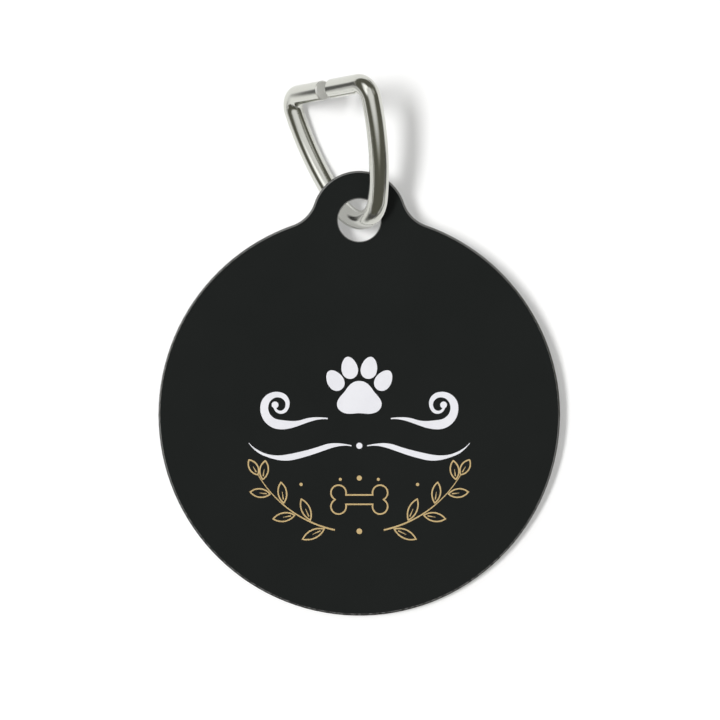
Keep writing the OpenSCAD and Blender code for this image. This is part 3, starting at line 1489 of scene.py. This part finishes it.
    def _sleeve(self) -> None:
        """Lines the hole with a glowing sleeve that the wire mirrors: painted light, with painted shade
        low down and in one dark spot on its left.
        """
        low = PLATE_LOW.z
        mesh = bmesh.new()
        ring = bmesh.ops.create_circle(mesh, segments=self.ring_sides, radius=self.sleeve_r)["verts"]
        bmesh.ops.translate(mesh, verts=ring, vec=(HINGE.x, HINGE.y, low - self.sleeve_reach))
        drawn = bmesh.ops.extrude_edge_only(mesh, edges=mesh.edges)["geom"]
        bmesh.ops.translate(mesh, verts=verts_of(drawn), vec=UP * (FACE_Z - low + self.sleeve_reach))
        self._face(mesh, HINGE)
        material, sheet = new_material("sleeve")
        place = sheet.millimetres()
        own = sheet.mapped(place, {
            "Location": Vector(self.spot_at) + HINGE,
            "Rotation": (math.radians(self.spot_tilt), 0.0, 0.0),
            "Scale": self.spot_half,
        }, kind="TEXTURE")
        spot = sheet.span(sheet.vectors("LENGTH", own), *self.spot_fade, 1.0, 0.0)
        # Painted shade in the hole's reflection: darker low in the sleeve, darkest in the spot
        first, last = low + self.sleeve_margins[0], FACE_Z - self.sleeve_margins[1]
        rise = sheet.span(sheet.parts(place)[2], first, last)
        wall = sheet.blend(rise, *map(grey, self.sleeve_painted_tones))
        tone = sheet.blend(spot, wall, grey(self.spot_painted_shade))
        glow = sheet.add("ShaderNodeEmission", {"Color": tone, "Strength": 1.0}).outputs[0]
        sheet.close_between(sheet.behind(), glow, sheet.clear())
        self._stand("sleeve", mesh, material)

    def _reflector(self) -> None:
        """Lays a glowing pale ring over the tab: painted light that the wire mirrors, and that is clear
        from below.
        """
        mesh = bmesh.new()
        for radius in self.reflector_r:
            bmesh.ops.create_circle(mesh, segments=self.ring_sides, radius=radius)
        bmesh.ops.bridge_loops(mesh, edges=mesh.edges)
        self._face(mesh, UP)
        place = (HINGE.x, HINGE.y, FACE_Z + self.reflector_lift)
        bmesh.ops.translate(mesh, verts=mesh.verts, vec=place)
        material, sheet = new_material("reflector")
        tone = sheet.grained(self.card_grain, self.reflector_tones)
        # The ring glows though it is no lamp: painted light, shown only in reflections
        painted_glow = sheet.add("ShaderNodeEmission", {"Color": tone, "Strength": 1.0}).outputs[0]
        shaded = self._cover(sheet, self.ring_flags, HINGE.xy)
        sheet.close_between(sheet.most(sheet.behind(), shaded), painted_glow, sheet.clear())
        self._stand("reflector", mesh, material)

    def _cove(self) -> None:
        """Makes the world a dim cove with soft patches of light, white from the horizon down."""
        world = bpy.data.worlds.new("cove")
        world.use_nodes = True
        sheet = Sheet(world.node_tree)
        way = sheet.add("ShaderNodeTexCoord").outputs["Generated"]
        base = sheet.span(sheet.parts(way)[2], *self.horizon, 1.0, self.cove_dim)
        light = sheet.most(base, *(glow.shine(sheet, way) for glow in self.glows))
        bright = sheet.span(light, self.cove_dim, self.cove_white_from)
        tint = sheet.blend(bright, self.cove_warm, WHITE)
        back = sheet.add("ShaderNodeBackground", {"Color": tint, "Strength": light})
        sheet.add("ShaderNodeOutputWorld", {0: back.outputs[0]})
        bpy.context.scene.world = world

    def _camera(self) -> None:
        """Sets the camera straight above the face, framed as the photograph is."""
        pixel = PLATE_D / self.plate_px
        place = Vector((
            (PLATE_LOW.x + PLATE_HIGH.x) / 2 + (self.image_px / 2 - self.plate_centre_px[0]) * pixel,
            PLATE_LOW.y + PLATE_D / 2 + (self.plate_centre_px[1] - self.image_px / 2) * pixel,
            FACE_Z + self.camera_above,
        ))
        data = bpy.data.cameras.new("camera")
        data.lens = data.sensor_width * self.camera_above / (self.image_px * pixel)
        data.clip_start = self.camera_near * MM
        camera = bpy.data.objects.new("camera", data)
        camera.location = place * MM
        bpy.context.scene.collection.objects.link(camera)
        bpy.context.scene.camera = camera


class Tag:
    """The tag's own blank and coat, which keep the frame's shapes and get their finishes here."""

    @staticmethod
    def dress(node: str, material: Material) -> None:
        """Puts a finish on one of the frame's nodes.

        Args:
            node: The node's name.
            material: Its finish.
        """
        piece = frame["nodes"][node]
        piece.data.materials.clear()
        piece.data.materials.append(material)
        log.info("%s: dressed in %s", node, material.name)


def main() -> None:
    """Builds the pieces in order, dresses the part and lights it."""
    logging.basicConfig(level=logging.INFO, format="%(name)s: %(message)s")
    effects = Effects()
    Tag.dress("tag_plate", BlankMetal().make(effects))
    Tag.dress("face_coat", BlackCoat().make(effects))
    BentWire().make(PolishedWire().make(effects))
    FaceArt().make(WHITE_INK.make(effects), GOLD_INK.make(effects))
    Studio().build()


if __name__ == "__main__":
    main()
